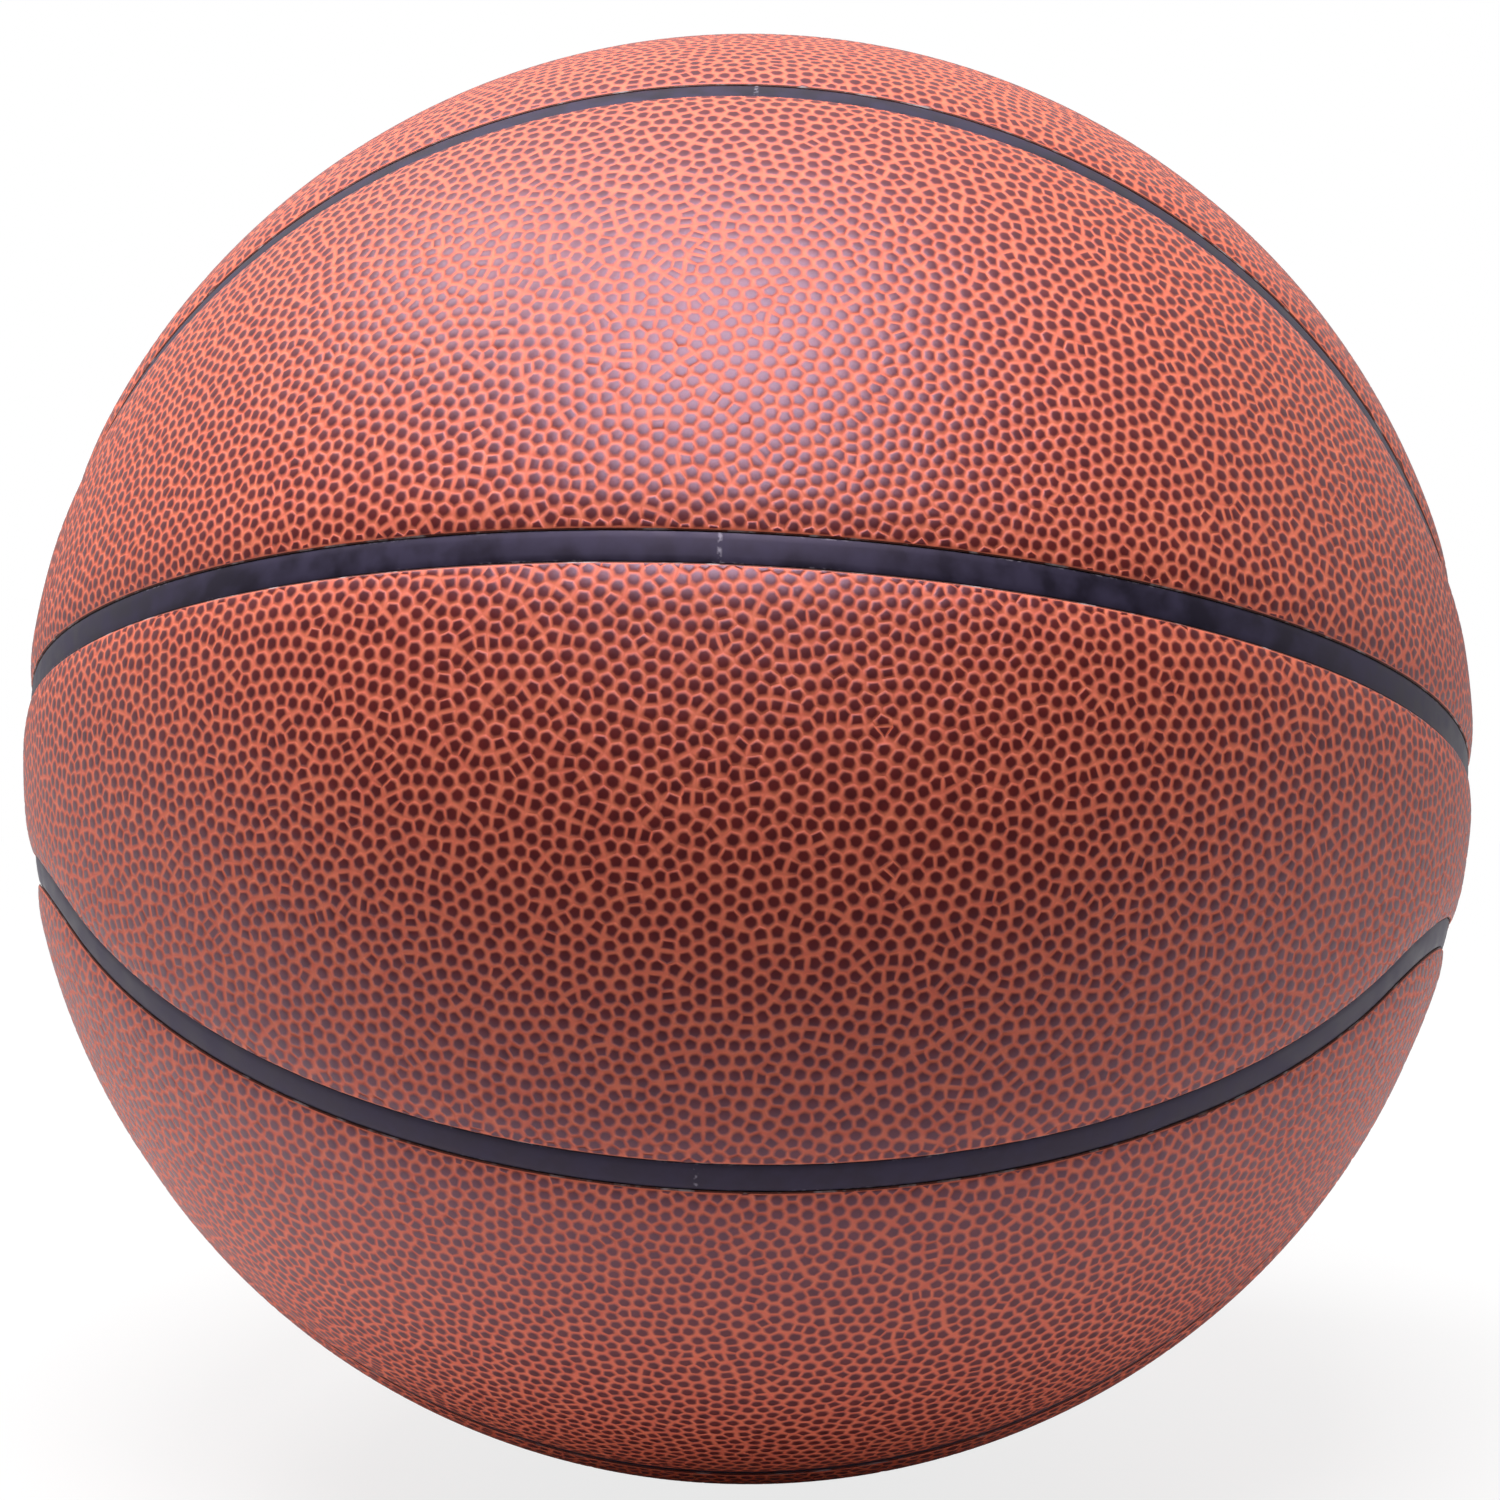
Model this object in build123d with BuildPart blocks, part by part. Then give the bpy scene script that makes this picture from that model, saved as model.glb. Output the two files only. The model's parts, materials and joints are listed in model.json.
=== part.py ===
from build123d import *
import os
from math import acos, asin, atan2, cos, degrees, pi, radians, sin

# An eight-panel basketball, taken apart into its layers: air bladder and valve, thread winding,
# moulded carcass with its channel ribs, and eight cover panels on their sponge cushions.
# The origin is the ball's centre. The ball lies as it was set down, turned by the three rest angles.

# Driving dimensions in millimetres
ball_circumference = 756.0
skin_thickness = 1.2
cushion_thickness = 1.5
carcass_thickness = 0.9
winding_thickness = 0.5
bladder_thickness = 0.8
glue_line = 0.1

# Channels: the black ribs that stand up between the panels
rib_width = 4.8
rib_recess = 0.8
panel_fit = 0.1
edge_roll = 6.5
edge_drop = 0.7
edge_roll_mid_share = 0.4

# Oval seams, measured along the ball's surface
oval_reach = 97.5
oval_end_radius = 52.0

# Valve, set in the upper band panel at the back
valve_offset = 46.0
valve_recess = 0.4
valve_fit = 0.1
stem_diameter = 10.0
flange_diameter = 24.0
flange_thickness = 1.4
boss_diameter = 12.0
boss_length = 9.0
core_diameter = 5.0
core_fit = 0.05
core_recess = 0.6
lip_diameter = 7.5
lip_length = 2.0
lip_round = 0.6
needle_bore_diameter = 2.0
needle_bore_length = 12.0
needle_mouth_diameter = 3.2
needle_mouth_depth = 0.8

# How the ball lies, in degrees: leant back from the viewer, rolled to the right, turned about itself
rest_lean = 25.0
rest_roll = 3.0
rest_turn = -1.4

# How far a cut runs past what it cuts
overrun = 2.0
roll_overrun = 0.05

# Radii of the layers, from the ball's surface inwards
skin_outer = ball_circumference / (2 * pi)
skin_inner = skin_outer - skin_thickness
cushion_outer = skin_inner - glue_line
cushion_inner = cushion_outer - cushion_thickness
carcass_outer = cushion_inner - glue_line
carcass_inner = carcass_outer - carcass_thickness
winding_outer = carcass_inner - glue_line
winding_inner = winding_outer - winding_thickness
bladder_outer = winding_inner - glue_line
bladder_inner = bladder_outer - bladder_thickness
rib_top = skin_outer - rib_recess
edge_radius = skin_outer - edge_drop
gap_width = rib_width + 2 * panel_fit

# The same seam sizes as angles at the ball's centre, in degrees
oval_reach_angle = degrees(oval_reach / skin_outer)
oval_end_angle = degrees(oval_end_radius / skin_outer)
valve_angle = degrees(valve_offset / skin_outer)

# The ball's own axes: x towards a crossing of the two great seams, z square to the centre seam
ball_axes = Plane(Location((0, 0, 0), (-rest_lean, rest_roll, rest_turn)))


def ball_direction(x, y, z):
    return ball_axes.from_local_coords(Vector(x, y, z).normalized())


# Each layer's sphere has its poles in two crown panels, and closes along a line clear of the valve.
closing_turn = -30.0
crown_angle = radians((oval_reach_angle + 90) / 2)
crown_middle = ball_direction(0, -cos(crown_angle), sin(crown_angle))
crown_plane = Plane(origin=(0, 0, 0), x_dir=crown_middle.cross(ball_axes.x_dir), z_dir=crown_middle)
layer_axes = crown_plane.rotated((0, 0, closing_turn))


def turned_axes(x_side, z_side):
    """The ball's axes after a half turn that maps the seams onto themselves."""
    return Plane(origin=(0, 0, 0), x_dir=ball_axes.x_dir * x_side, z_dir=ball_axes.z_dir * z_side)


def seam_plane(axis, start):
    """The plane of a seam's section: its y is the axis the seam turns about, its x where it starts."""
    return Plane(origin=(0, 0, 0), x_dir=start, z_dir=start.cross(axis))


def seam_axis(plane):
    return Axis((0, 0, 0), plane.y_dir)


# A seam stretch is its section plane, the section's rise above that plane's x, and its sweep in degrees.
FULL_TURN = 360.0
centre_seam = (seam_plane(ball_axes.z_dir, ball_direction(1, 1, 0)), 0, FULL_TURN)
cross_seam = (seam_plane(ball_axes.y_dir, ball_direction(1, 0, 1)), 0, FULL_TURN)


def oval_stretches(axes):
    """One long side and one end of an oval seam: a great-circle arc and the round end tangent to it."""
    reach, end = radians(oval_reach_angle), radians(oval_end_angle)
    end_rise = asin(sin(end) / cos(reach))
    touch = acos(cos(end_rise) / cos(end))

    def direction(x, y, z):
        return axes.from_local_coords(Vector(x, y, z))

    side_axis = direction(0, sin(reach), cos(reach))
    side_start = direction(-cos(touch), -sin(touch) * cos(reach), sin(touch) * sin(reach))
    side = (seam_plane(side_axis, side_start), 0, degrees(pi - 2 * touch))

    end_axis = direction(cos(end_rise), 0, sin(end_rise))
    down = direction(sin(end_rise), 0, -cos(end_rise))
    front = direction(0, -1, 0)
    touch_down = cos(touch) * sin(end_rise) - sin(touch) * sin(reach) * cos(end_rise)
    half_sweep = atan2(sin(touch) * cos(reach), touch_down)
    end_start = down * cos(half_sweep) + front * sin(half_sweep)
    round_end = (seam_plane(end_axis, end_start), 90 - oval_end_angle, degrees(2 * half_sweep))
    return [side, round_end]


upper_oval = oval_stretches(turned_axes(1, 1)) + oval_stretches(turned_axes(-1, 1))
lower_oval = oval_stretches(turned_axes(1, -1)) + oval_stretches(turned_axes(-1, -1))


def on_section(rise, out, across):
    """A point of a seam's section, by its distance out from the ball's centre and across the seam."""
    tilt = radians(rise)
    return (out * cos(tilt) - across * sin(tilt), out * sin(tilt) + across * cos(tilt))


def at_radius(rise, radius, across):
    """A point of a seam's section on a sphere, at a distance across from the middle of the seam."""
    return on_section(rise, (radius**2 - across**2) ** 0.5, across)


def channel_section(stretch, low, high, width):
    """A channel section with parallel sides."""
    plane, rise, _ = stretch
    corners = ((low, -width / 2), (high, -width / 2), (high, width / 2), (low, width / 2))
    with BuildSketch(plane) as section:
        with BuildLine():
            Polyline(*[on_section(rise, out, across) for out, across in corners], close=True)
        make_face()
    return section.sketch


def rolled_section(stretch):
    """The gap between two cover panels, with both panel edges rolled down to the channel."""
    plane, rise, _ = stretch
    low, high = skin_inner - overrun, skin_outer + overrun
    narrow = gap_width / 2
    wide = narrow + edge_roll
    middle = narrow + edge_roll / 2
    middle_radius = skin_outer - edge_drop * edge_roll_mid_share
    with BuildSketch(plane) as section:
        with BuildLine():
            Line(on_section(rise, low, -narrow), on_section(rise, low, narrow))
            Line(on_section(rise, high, -wide), on_section(rise, high, wide))
            for side in (-1, 1):
                foot = at_radius(rise, edge_radius, side * narrow)
                crest = at_radius(rise, skin_outer + roll_overrun, side * wide)
                Line(on_section(rise, low, side * narrow), foot)
                ThreePointArc(foot, at_radius(rise, middle_radius, side * middle), crest)
                Line(crest, on_section(rise, high, side * wide))
        make_face()
    return section.sketch


def hollow_ball(inner, outer):
    """A whole layer of the ball between two radii."""
    with Locations(layer_axes):
        Sphere(outer)
        Sphere(inner, mode=Mode.SUBTRACT)


def turn(section, stretch, mode=Mode.ADD):
    plane, _, sweep = stretch
    revolve(section, axis=seam_axis(plane), revolution_arc=sweep, mode=mode)


# The valve's axis runs from the ball's centre through the middle of the upper band panel at the back.
valve_out = ball_direction(0, cos(radians(valve_angle)), sin(radians(valve_angle)))
valve_plane = Plane(origin=(0, 0, 0), x_dir=ball_axes.x_dir, z_dir=valve_out)
valve_axis = Axis((0, 0, 0), valve_out)
# In the section plane x is the distance from the valve's axis and y the distance along it.
valve_section_plane = seam_plane(valve_out, ball_axes.x_dir)


def valve_hole(inner, outer):
    """A round hole for the valve stem through the layer between two radii."""
    depth = outer - inner + 2 * overrun
    hole_radius = stem_diameter / 2 + valve_fit
    with Locations(valve_plane.offset(outer + overrun)):
        Cylinder(hole_radius, depth, align=(Align.CENTER, Align.CENTER, Align.MAX), mode=Mode.SUBTRACT)


def finish(part, label):
    part.label = label
    export_step(part, f"parts/{label}.step")


os.makedirs("parts", exist_ok=True)

# Air bladder
with BuildPart() as bladder:
    hollow_ball(bladder_inner, bladder_outer)
    valve_hole(bladder_inner, bladder_outer)
finish(bladder.part, "bladder")

# Nylon thread wound over the bladder in every direction, as one layer
with BuildPart() as thread_winding:
    hollow_ball(winding_inner, winding_outer)
    valve_hole(winding_inner, winding_outer)
finish(thread_winding.part, "thread_winding")


def gap_along(oval, section_of):
    """The gap between the panels along one oval seam, as one closed ring."""
    with BuildPart() as gap:
        for stretch in oval:
            turn(section_of(stretch), stretch)
    return gap.part


def cut_seams(section_of):
    """Cuts a layer of the ball along all four seams, which leaves its eight panels."""
    for stretch in (centre_seam, cross_seam):
        turn(section_of(stretch), stretch, Mode.SUBTRACT)
    for oval in (upper_oval, lower_oval):
        add(gap_along(oval, section_of), mode=Mode.SUBTRACT)


def pocket_section(stretch):
    return channel_section(stretch, carcass_outer - overrun, skin_outer + overrun, rib_width)


def cushion_section(stretch):
    return channel_section(stretch, cushion_inner - overrun, cushion_outer + overrun, gap_width)


# Pockets for the panels, which leave the ribs standing along every seam
with BuildPart() as panel_pockets:
    hollow_ball(carcass_outer, skin_outer)
    cut_seams(pocket_section)

# Carcass: a moulded rubber shell, one piece with the ribs that stand up between the panels
with BuildPart() as carcass:
    hollow_ball(carcass_inner, rib_top)
    add(panel_pockets.part, mode=Mode.SUBTRACT)
    valve_hole(carcass_inner, rib_top)
finish(carcass.part, "carcass")

# Cover skin, cut along the seams
with BuildPart() as cover_skin:
    hollow_ball(skin_inner, skin_outer)
    cut_seams(rolled_section)
    valve_hole(skin_inner, skin_outer)

# Sponge layer behind the skin, cut along the same seams
with BuildPart() as sponge_layer:
    hollow_ball(cushion_inner, cushion_outer)
    cut_seams(cushion_section)
    valve_hole(cushion_inner, cushion_outer)


def panel_name(solid):
    """A panel's place on the ball: upper or lower, front or back, beside the centre seam or in an oval."""
    middle = ball_axes.to_local_coords(solid.center(CenterOf.MASS))
    height = "upper" if middle.Z > 0 else "lower"
    side = "front" if middle.Y < 0 else "back"
    zone = "crown" if degrees(atan2(abs(middle.Z), abs(middle.Y))) > oval_reach_angle else "band"
    return f"{height}_{side}_{zone}"


for solid in cover_skin.part.solids():
    with BuildPart() as cover_panel:
        add(solid)
    finish(cover_panel.part, f"{panel_name(solid)}_panel")

for solid in sponge_layer.part.solids():
    with BuildPart() as cushion:
        add(solid)
    finish(cushion.part, f"{panel_name(solid)}_cushion")

# Valve body: a flange bonded inside the bladder, a stem out to the cover and a boss that holds the core
flange_top = bladder_inner - glue_line
flange_foot = flange_top - flange_thickness
boss_foot = flange_foot - boss_length
stem_top = skin_outer - valve_recess
bore_radius = core_diameter / 2 + core_fit

with BuildPart() as valve_body:
    with BuildSketch(valve_section_plane) as body_section:
        with BuildLine():
            stem_radius = stem_diameter / 2
            boss_radius = boss_diameter / 2
            rim_radius = flange_diameter / 2
            rim_low = at_radius(90, flange_foot, -rim_radius)
            rim_high = at_radius(90, flange_top, -rim_radius)
            stem_foot = at_radius(90, flange_top, -stem_radius)
            boss_head = at_radius(90, flange_foot, -boss_radius)
            low_middle = at_radius(90, flange_foot, -(rim_radius + boss_radius) / 2)
            high_middle = at_radius(90, flange_top, -(rim_radius + stem_radius) / 2)
            Polyline(boss_head, (boss_radius, boss_foot), (bore_radius, boss_foot), (bore_radius, stem_top))
            Polyline((bore_radius, stem_top), (stem_radius, stem_top), stem_foot)
            ThreePointArc(stem_foot, high_middle, rim_high)
            Line(rim_high, rim_low)
            ThreePointArc(rim_low, low_middle, boss_head)
        make_face()
    revolve(axis=valve_axis)
finish(valve_body.part, "valve_body")

# Valve core: a rubber plug with a needle channel, kept in by the lip below the boss
core_top = stem_top - core_recess
channel_foot = core_top - needle_mouth_depth - needle_bore_length
lip_top = boss_foot - core_fit
with BuildPart() as valve_core:
    with BuildSketch(valve_section_plane) as core_section:
        with BuildLine():
            core_radius = core_diameter / 2
            lip_radius = lip_diameter / 2
            needle_radius = needle_bore_diameter / 2
            lip_foot = lip_top - lip_length
            Polyline(
                (0, channel_foot),
                (needle_radius, channel_foot),
                (needle_radius, core_top - needle_mouth_depth),
                (needle_mouth_diameter / 2, core_top),
                (core_radius, core_top),
                (core_radius, lip_top),
                (lip_radius, lip_top),
                (lip_radius, lip_foot),
                (0, lip_foot),
                close=True,
            )
        make_face()
    revolve(axis=valve_axis)
    lip_edge = valve_core.edges().filter_by(GeomType.CIRCLE).sort_by(valve_axis)[0]
    fillet(lip_edge, lip_round)
finish(valve_core.part, "valve_core")

# Where an inflating needle goes in and where the ball touches the floor, in metres
metres = 0.001
needle_middle = valve_out * (core_top - needle_mouth_depth - needle_bore_length / 2)
print("needle bore", tuple(needle_middle * metres), "pointing out along", tuple(valve_out))
print("floor contact", (0, 0, -skin_outer * metres))
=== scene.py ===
# %% [markdown]
# # A basketball, dressed
# The ball's layers come as a fixed frame: bladder, winding, carcass, cushions, panels and valve, at
# their real size in metres. This lesson gives them their looks. The eight cover panels are modelled
# again with every pebble raised, the sponge behind them, the black carcass with its ribs, and the
# valve with its soft edges. Everything sits in the frame's own place, so nothing is fitted afterwards.

# %% Load the frame
import json
from math import acos, asin, atan2, cos, degrees, pi, radians, sin, sqrt

import bmesh
import bpy
import numpy as np
from mathutils import Euler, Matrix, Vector

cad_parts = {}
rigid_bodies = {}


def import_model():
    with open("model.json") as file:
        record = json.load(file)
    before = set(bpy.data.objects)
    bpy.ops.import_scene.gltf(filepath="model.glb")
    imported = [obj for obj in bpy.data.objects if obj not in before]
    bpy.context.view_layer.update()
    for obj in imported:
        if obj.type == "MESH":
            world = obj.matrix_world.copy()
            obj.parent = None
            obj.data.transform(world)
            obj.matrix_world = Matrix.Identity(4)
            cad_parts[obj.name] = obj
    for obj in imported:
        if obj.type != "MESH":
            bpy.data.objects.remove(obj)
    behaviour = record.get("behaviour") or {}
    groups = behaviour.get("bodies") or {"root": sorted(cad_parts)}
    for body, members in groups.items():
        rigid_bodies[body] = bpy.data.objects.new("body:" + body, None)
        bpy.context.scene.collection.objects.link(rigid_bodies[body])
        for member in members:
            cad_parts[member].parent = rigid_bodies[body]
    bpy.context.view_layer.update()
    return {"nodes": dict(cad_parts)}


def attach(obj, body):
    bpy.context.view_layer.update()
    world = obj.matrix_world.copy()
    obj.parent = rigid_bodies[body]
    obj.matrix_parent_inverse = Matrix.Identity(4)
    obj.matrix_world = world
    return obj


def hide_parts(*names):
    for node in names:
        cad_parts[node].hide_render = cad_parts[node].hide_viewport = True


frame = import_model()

MM = 0.001
print("nodes in the frame:", len(frame["nodes"]))

# %% [markdown]
# ## The ball's own axes
# The seams are easy to say in the ball's own axes: x towards a crossing of the two great seams, z
# square to the centre seam. The ball lies turned on the floor, so one matrix turns these axes to the
# frame's. The sizes are those of the solids. A length along the ball divided by its radius is an angle
# at its centre, and the ovals and the valve's place are kept as such angles.

# %% Sizes and axes
BALL_RADIUS = 756.0 * MM / (2 * pi)
SKIN = 1.2 * MM
RIB_WIDTH = 4.8 * MM
RIB_RECESS = 0.8 * MM
PANEL_FIT = 0.1 * MM
HALF_GAP = RIB_WIDTH / 2 + PANEL_FIT
GLUE_LINE = 0.1 * MM
CUSHION = 1.5 * MM
CUSHION_OUTER = BALL_RADIUS - SKIN - GLUE_LINE
CARCASS_OUTER = CUSHION_OUTER - CUSHION - GLUE_LINE
CARCASS_WALL = 0.9 * MM
OVAL_REACH = 97.5 * MM / BALL_RADIUS
OVAL_END = 52.0 * MM / BALL_RADIUS
OVAL_RISE = asin(sin(OVAL_END) / cos(OVAL_REACH))
OVAL_TOUCH = acos(cos(OVAL_RISE) / cos(OVAL_END))
VALVE_RISE = 46.0 * MM / BALL_RADIUS
VALVE_HOLE = 5.1 * MM
NOD, TILT, SWING = radians(-25.0), radians(3.0), radians(-1.4)

rest_turn = Euler((NOD, 0, 0)).to_matrix()
rest_turn = rest_turn @ Euler((0, TILT, 0)).to_matrix() @ Euler((0, 0, SWING)).to_matrix()
ball_axes = np.array(rest_turn)


def ball_direction(x, y, z):
    """A direction given in the ball's own axes, in the frame's axes."""
    return (rest_turn @ Vector((x, y, z))).normalized()


valve_out = ball_direction(0, cos(VALVE_RISE), sin(VALVE_RISE))
print("ball radius", round(BALL_RADIUS / MM, 2), "mm")
print("oval ends touch at", round(degrees(OVAL_TOUCH), 1), "degrees")

# %% [markdown]
# ## The camera
# The photograph was taken from a little above the ball's middle with a long lens, so the camera
# stands 7.6 radii away, 10 degrees up, and the ball fills the frame.

# %% Camera
CAMERA_DISTANCE = 7.6 * BALL_RADIUS
CAMERA_RISE = radians(10.1)
LENS, SENSOR_WIDTH = 131.0, 36.0
NEAREST_SEEN = 0.05

stand = (0, -CAMERA_DISTANCE * cos(CAMERA_RISE), CAMERA_DISTANCE * sin(CAMERA_RISE))
bpy.ops.object.select_all(action="DESELECT")
bpy.ops.object.camera_add(location=stand)
camera = bpy.context.object
aim = Vector((0.25 * MM, 0, 1.5 * MM))
camera.rotation_euler = (aim - camera.location).to_track_quat("-Z", "Y").to_euler()
camera.data.lens = LENS
camera.data.sensor_width = SENSOR_WIDTH
camera.data.clip_start = NEAREST_SEEN
bpy.context.scene.camera = camera
print("camera at", [round(value, 3) for value in camera.location])

# %% [markdown]
# ## Small helpers for modelling
# Operators act on what is selected, so each step first deselects everything. Faces are chosen by
# their place: the middles of all faces are read as one array, and a test says which to select.

# %% Helpers for selecting
SELECT_CORNERS = (True, False, False)
SELECT_FACES = (False, False, True)


def pick(piece):
    """Makes a piece the active one and the only one selected."""
    bpy.ops.object.select_all(action="DESELECT")
    piece.select_set(True)
    bpy.context.view_layer.objects.active = piece


def start_editing(piece):
    pick(piece)
    bpy.ops.object.mode_set(mode="EDIT")
    bpy.context.tool_settings.mesh_select_mode = SELECT_FACES


def stop_editing():
    bpy.ops.object.mode_set(mode="OBJECT")


def apply_modifier(piece, modifier):
    pick(piece)
    bpy.ops.object.modifier_apply(modifier=modifier.name)


def mark_faces(faces, chosen):
    """In edit mode, selects those of the faces that are chosen."""
    for face, wanted in zip(faces, chosen):
        if wanted:
            face.select_set(True)
    bmesh.update_edit_mesh(bpy.context.object.data, loop_triangles=False, destructive=False)


def select_faces(test):
    """In edit mode, selects the faces whose middles pass a test, which takes an array of points."""
    bpy.ops.mesh.select_all(action="DESELECT")
    cells = bmesh.from_edit_mesh(bpy.context.object.data)
    faces = cells.faces[:]
    chosen = test(np.array([face.calc_center_median() for face in faces]))
    mark_faces(faces, chosen)
    return int(chosen.sum())


# %% Helpers for places
def vertex_places(piece):
    places = np.empty(len(piece.data.vertices) * 3)
    piece.data.vertices.foreach_get("co", places)
    return places.reshape(-1, 3)


def set_vertex_places(piece, places):
    piece.data.vertices.foreach_set("co", places.ravel())
    piece.data.update()


def at_radius(points, radius):
    return points * (radius / np.linalg.norm(points, axis=1))[:, None]


# %% [markdown]
# ## Where the seams run
# Every seam is a circle on the ball: the centre seam, the cross seam and the ovals' long sides are
# great circles, and the ovals' ends are smaller circles that touch the sides. The eight-fold symmetry
# of the seams lets one function serve them all, by the size of x, y and z alone.


# %% Distances on the ball
def seam_distance(points):
    """The distance from each point to the middle of the nearest seam, along a sphere through it."""
    x, y, z = np.abs(at_radius(points, 1.0) @ ball_axes).T
    side = np.arcsin(np.abs(z * cos(OVAL_REACH) - y * sin(OVAL_REACH)))
    end = np.abs(np.arccos(np.minimum(x * cos(OVAL_RISE) + z * sin(OVAL_RISE), 1)) - OVAL_END)
    oval = np.where(x < cos(OVAL_TOUCH), side, end)
    nearest = np.minimum(oval, np.minimum(np.arcsin(z), np.arcsin(y)))
    return nearest * np.linalg.norm(points, axis=1)


def inside_oval(points):
    x, y, z = np.abs(at_radius(points, 1.0) @ ball_axes).T
    past_side = z * cos(OVAL_REACH) > y * sin(OVAL_REACH)
    past_end = x * cos(OVAL_RISE) + z * sin(OVAL_RISE) > cos(OVAL_END)
    return np.where(x < cos(OVAL_TOUCH), past_side, past_end)


# %% [markdown]
# ## A net of pebbles
# The cover is embossed with small pebbles about 2.4 mm apart, packed tightly but in no order. A
# displacement texture would blur them and bend at the seams, so every pebble becomes a face: an ico
# sphere with a corner for nearly every pebble is shaken, and then relaxed in a few rounds. A round
# flips edges to the better diagonal and draws each corner towards the roomier triangles around it.
# The dual mesh then has one cell per corner.

# %% Shake the ico sphere
PEBBLE_PITCH = 2.41 * MM
NET_LEVELS, EDGE_CUTS = 3, 13
SHAKE, SHAKE_SEED = 2.4 * MM, 3

bpy.ops.object.select_all(action="DESELECT")
bpy.ops.mesh.primitive_ico_sphere_add(subdivisions=NET_LEVELS, radius=BALL_RADIUS)
pebble_net = bpy.context.object
pebble_net.name = "pebble_net"
start_editing(pebble_net)
bpy.ops.mesh.select_all(action="SELECT")
bpy.ops.mesh.subdivide(number_cuts=EDGE_CUTS)
stop_editing()
set_vertex_places(pebble_net, at_radius(vertex_places(pebble_net), BALL_RADIUS))
start_editing(pebble_net)
bpy.ops.mesh.select_all(action="SELECT")
bpy.ops.transform.vertex_random(offset=SHAKE, uniform=1.0, seed=SHAKE_SEED)
stop_editing()
print("corners of the net:", len(pebble_net.data.vertices))

# %% Relax the net
RELAXING_ROUNDS = 5
CROWDING_POWER = 4


def shared_out(count, triangles, values):
    """Sums up, for each corner, the values of the triangles around it."""
    total = np.zeros((count,) + values.shape[1:])
    for corner in triangles.T:
        np.add.at(total, corner, values)
    return total


def draw_to_room(net):
    """Moves each corner to the middle of the triangles around it, the roomier ones counting more."""
    places = vertex_places(net)
    triangles = np.empty(len(net.data.loops), dtype=np.int32)
    net.data.loops.foreach_get("vertex_index", triangles)
    triangles = triangles.reshape(-1, 3)
    first, second, third = (places[corner] for corner in triangles.T)
    areas = np.linalg.norm(np.cross(second - first, third - first), axis=1)
    room = shared_out(len(places), triangles, areas)
    weights = areas * (room[triangles].mean(axis=1) / room.mean()) ** CROWDING_POWER
    pull = shared_out(len(places), triangles, weights[:, None] * (first + second + third) / 3)
    weight = shared_out(len(places), triangles, weights)[:, None]
    set_vertex_places(net, at_radius(pull / weight, BALL_RADIUS))
    return room.std() / room.mean()


for turn in range(RELAXING_ROUNDS):
    start_editing(pebble_net)
    bpy.ops.mesh.select_all(action="SELECT")
    bpy.ops.mesh.beautify_fill(angle_limit=pi)
    stop_editing()
    unevenness = draw_to_room(pebble_net)
print("spread of the cells' sizes:", round(unevenness, 3))

# %% Turn corners into cells
cell_nodes = bpy.data.node_groups.new("corners_to_cells", "GeometryNodeTree")
cell_nodes.interface.new_socket("Geometry", in_out="INPUT", socket_type="NodeSocketGeometry")
cell_nodes.interface.new_socket("Geometry", in_out="OUTPUT", socket_type="NodeSocketGeometry")
net_in = cell_nodes.nodes.new("NodeGroupInput")
net_out = cell_nodes.nodes.new("NodeGroupOutput")
dual = cell_nodes.nodes.new("GeometryNodeDualMesh")
cell_nodes.links.new(net_in.outputs[0], dual.inputs[0])
cell_nodes.links.new(dual.outputs[0], net_out.inputs[0])
to_cells = pebble_net.modifiers.new("cells", "NODES")
to_cells.node_group = cell_nodes
apply_modifier(pebble_net, to_cells)
print("cells:", len(pebble_net.data.polygons))

# %% [markdown]
# ## Splitting and evening out
# On the real cover many pebbles come in pairs that a thin straight valley parts, and all are much the
# same size though no two have the same shape. So the roomiest cells are split in two between opposite
# corners. Then, in a few rounds, each corner of the cells is drawn towards the middles of the cells
# that are too large and away from those that are too small.

# %% Split the roomiest cells
SPLIT_SHARE = 0.1

start_editing(pebble_net)
cells = bmesh.from_edit_mesh(pebble_net.data)
rooms = {face: face.calc_area() for face in cells.faces}
limit = np.quantile(list(rooms.values()), 1 - SPLIT_SHARE)
for face in [face for face, room in rooms.items() if room > limit]:
    corners = face.verts[:]
    facing = corners[len(corners) // 2:] + corners[:len(corners) // 2]
    first, second = min(zip(corners, facing), key=lambda pair: (pair[0].co - pair[1].co).length)
    bmesh.utils.face_split(face, first, second)
bmesh.update_edit_mesh(pebble_net.data)
stop_editing()
print("pebbles:", len(pebble_net.data.polygons))

# %% Even out the cells
EVENING_ROUNDS = 13
EVENING_PULL = 0.22
SOFTENING_PULL = 0.16


def face_corners(piece):
    """Where each face's corners start, how many they are, and the vertex at every corner."""
    starts = np.empty(len(piece.data.polygons), dtype=np.int32)
    counts = np.empty(len(piece.data.polygons), dtype=np.int32)
    corners = np.empty(len(piece.data.loops), dtype=np.int32)
    piece.data.polygons.foreach_get("loop_start", starts)
    piece.data.polygons.foreach_get("loop_total", counts)
    piece.data.loops.foreach_get("vertex_index", corners)
    return starts, counts, corners


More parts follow.
